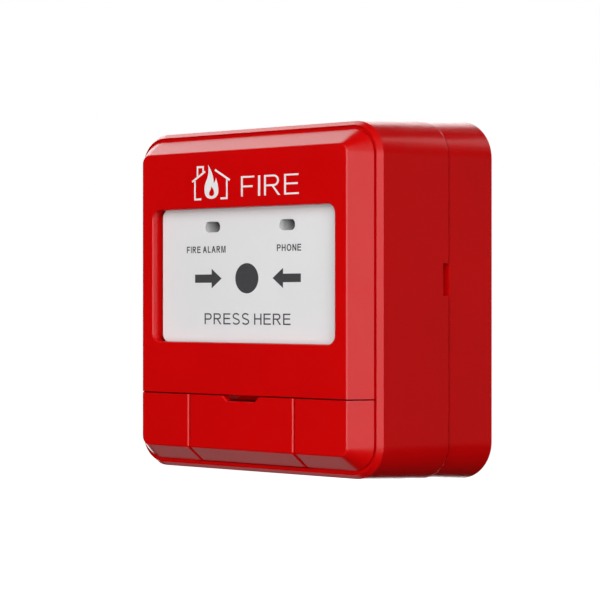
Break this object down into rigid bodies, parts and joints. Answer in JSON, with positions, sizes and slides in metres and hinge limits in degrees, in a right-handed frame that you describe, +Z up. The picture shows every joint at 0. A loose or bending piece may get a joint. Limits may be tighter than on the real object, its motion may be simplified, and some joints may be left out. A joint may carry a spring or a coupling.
{
  "type": "manual call point",
  "caption": "Resettable fire alarm call point with a tilting press panel in a bevelled cover, a hinged flap over a phone jack and key reset, on a flared housing and rear base.",
  "frame": {"origin": "middle of the rear base's flat face on the wall", "axes": "+Y into the wall, so the front faces -Y; +Z up; +X to the right of someone facing the front"},
  "size_m": [0.088, 0.0515, 0.0962],
  "materials": {
    "red_plastic": "moulded, satin",
    "white_plastic": "moulded, satin",
    "clear_plastic": "diffusing, smooth",
    "zinc_steel": "zinc plated",
    "spring_steel": "bright drawn",
    "tinned_copper": "tin plated",
    "nickel": "nickel plated",
    "board_green": "solder resist",
    "black_plastic": "moulded, fine grain",
    "green_plastic": "moulded, satin",
    "ivory_plastic": "moulded, satin",
    "brass": "turned",
    "can_sleeve": "shrink sleeve",
    "chip_ceramic": "ceramic",
    "led_body": "moulded"
  },
  "bodies": {
    "base": {"rear_base": "red_plastic", "terminal_block": "green_plastic", "terminal_screws": "zinc_steel", "wire_clamps": "zinc_steel", "contact_blades": "tinned_copper", "terminal_block_screws": "zinc_steel"},
    "panel": {"press_panel": "white_plastic", "fire_lens": "clear_plastic", "phone_lens": "clear_plastic", "panel_springs": "spring_steel"},
    "lever": {"switch_lever": "spring_steel"},
    "plunger": {"switch_plunger": "ivory_plastic"},
    "cam": {"reset_cam": "brass"},
    "slider": {"reset_slider": "ivory_plastic"},
    "flap": {"access_flap": "red_plastic"},
    "head": {"head_housing": "red_plastic", "front_cover": "red_plastic", "lower_cover": "red_plastic", "light_pipes": "clear_plastic", "cover_screws": "zinc_steel", "lower_cover_screws": "zinc_steel", "board_screws": "zinc_steel", "keeper_screws": "zinc_steel", "flap_hinge_pin": "zinc_steel", "panel_pivot_rod": "zinc_steel", "slider_spring": "spring_steel", "socket_contacts": "tinned_copper", "switch_tags": "tinned_copper", "jack_contacts": "tinned_copper", "jack_bush": "nickel", "jack_nut": "nickel", "main_board": "board_green", "jack_body": "black_plastic", "switch_body": "black_plastic", "microcontroller": "black_plastic", "contact_socket": "black_plastic", "reset_barrel": "black_plastic", "slider_keeper": "black_plastic", "capacitors": "can_sleeve", "chip_parts": "chip_ceramic", "indicator_leds": "led_body"}
  },
  "joints": [
    {"name": "head_release", "type": "slide", "parent": "base", "child": "head", "axis": [0, -1, 0], "range_m": [0, 0.04]},
    {"name": "panel_press", "type": "hinge", "parent": "head", "child": "panel", "pos_m": [0, -0.0463, 0.0268], "axis": [1, 0, 0], "range_deg": [0, 5], "stiffness_Nm_per_rad": 0.3, "springref_deg": -5.73},
    {"name": "lever_turn", "type": "hinge", "parent": "head", "child": "lever", "pos_m": [-0.0085, -0.0353, 0.0057], "axis": [0, 0, 1], "range_deg": [0, 6.8]},
    {"name": "plunger_push", "type": "slide", "parent": "head", "child": "plunger", "axis": [0, 1, 0], "range_m": [0, 0.00105]},
    {"name": "reset_turn", "type": "hinge", "parent": "head", "child": "cam", "pos_m": [0.009, -0.038, -0.0335], "axis": [0, 1, 0], "range_deg": [0, 91]},
    {"name": "slider_pull", "type": "slide", "parent": "head", "child": "slider", "axis": [0, 0, -1], "range_m": [0, 0.0025], "stiffness_N_per_m": 300, "springref_m": -0.003, "deforming": ["slider_spring"]},
    {"name": "flap_open", "type": "hinge", "parent": "head", "child": "flap", "pos_m": [0, -0.0469, -0.0399], "axis": [1, 0, 0], "range_deg": [0, 100]}
  ],
  "couplings": [
    {"joint": "lever_turn", "follows": "panel_press", "ratio": 1.35},
    {"joint": "plunger_push", "follows": "panel_press", "m_per_rad": 0.0115},
    {"joint": "reset_turn", "follows": "slider_pull", "rad_per_m": 628.32}
  ]
}
